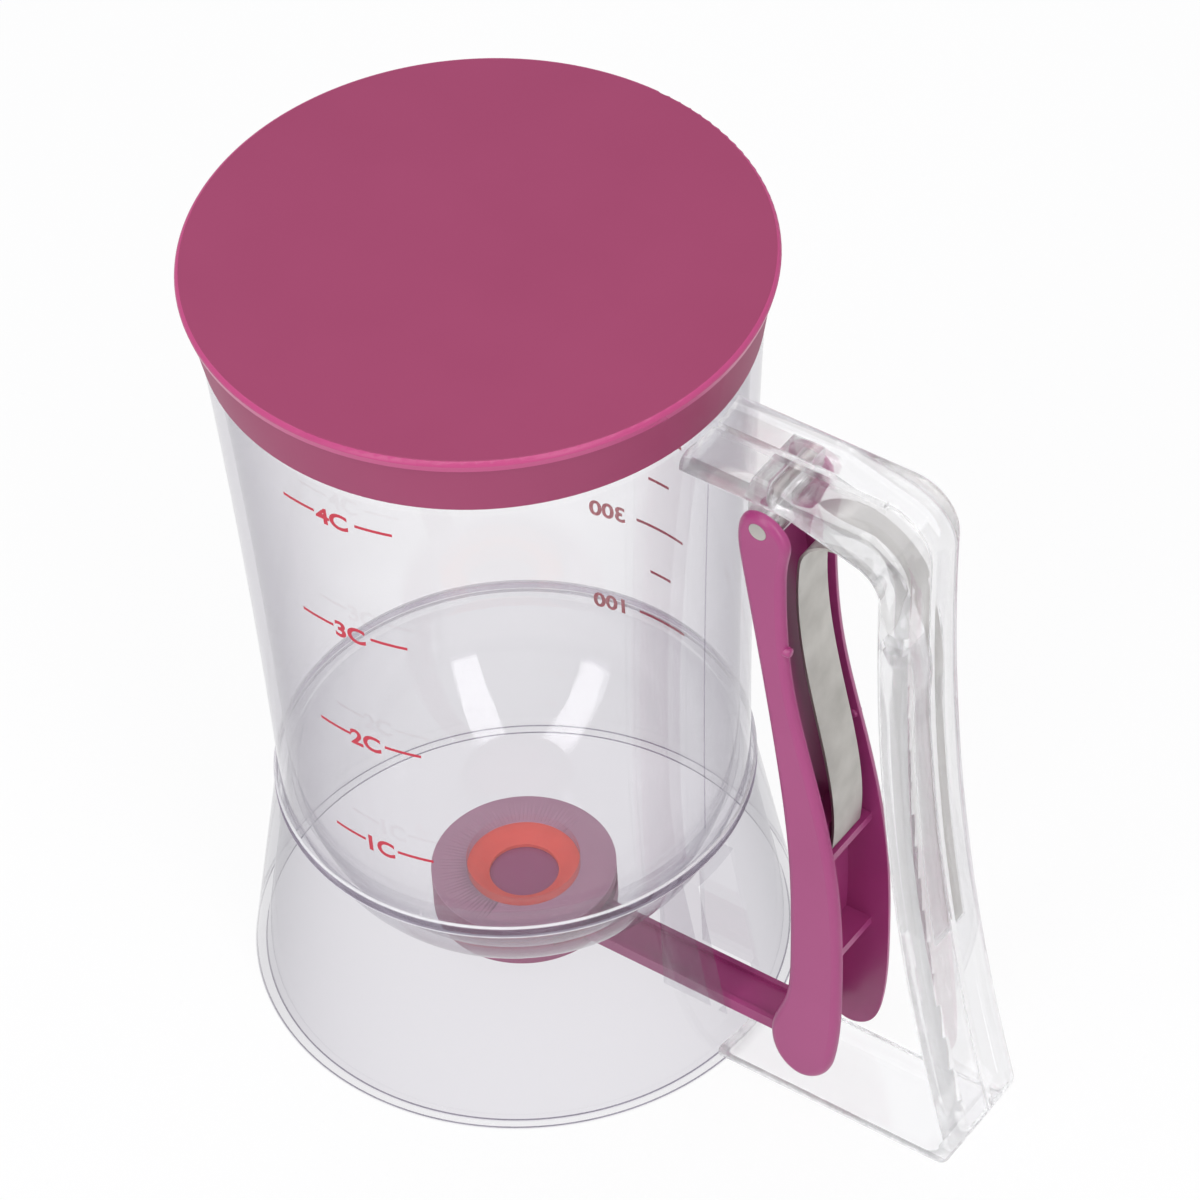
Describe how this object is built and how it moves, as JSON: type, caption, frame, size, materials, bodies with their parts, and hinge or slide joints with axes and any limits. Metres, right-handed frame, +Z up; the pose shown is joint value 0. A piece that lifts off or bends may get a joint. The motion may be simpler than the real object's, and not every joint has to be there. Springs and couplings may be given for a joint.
{
  "type": "batter dispenser",
  "caption": "Clear waisted jar on a flared base with a lift-off lid, a funnel floor, a sliding outlet gate and a strap handle with a sprung trigger.",
  "frame": {"origin": "centre of the base's bottom rim, where the jar's axis meets the surface that it stands on", "axes": "+Z up along the jar's axis; +X from the jar towards the handle's spine"},
  "size_m": [0.1794, 0.12, 0.1951],
  "materials": {
    "lid_plastic": "fine satin, plum",
    "coloured_plastic": "semi-gloss, plum",
    "clear_plastic": "clear moulded plastic",
    "silicone": "soft red",
    "steel": "brushed"
  },
  "bodies": {
    "housing": {"jar_wall": "clear_plastic", "hopper_bowl": "clear_plastic", "base_skirt": "clear_plastic", "handle": "clear_plastic", "pivot_pin": "steel", "valve_body": "coloured_plastic", "seal_ring": "silicone", "leaf_spring": "steel"},
    "lid": {"lid": "lid_plastic"},
    "trigger": {"trigger": "coloured_plastic"},
    "gate": {"slide_gate": "coloured_plastic"}
  },
  "joints": [
    {"name": "lid_lift", "type": "slide", "parent": "housing", "child": "lid", "axis": [0, 0, 1], "range_m": [0, 0.03]},
    {"name": "trigger_pull", "type": "hinge", "parent": "housing", "child": "trigger", "pos_m": [0.0727, 0, 0.1651], "axis": [0, -1, 0], "range_deg": [0, 8], "stiffness_Nm_per_rad": 1.2, "springref_deg": -6.88, "deforming": ["leaf_spring"]},
    {"name": "gate_slide", "type": "slide", "parent": "housing", "child": "gate", "axis": [1, 0, 0], "range_m": [0, 0.0216]}
  ],
  "couplings": [
    {"joint": "gate_slide", "follows": "trigger_pull", "m_per_rad": 0.1531}
  ]
}
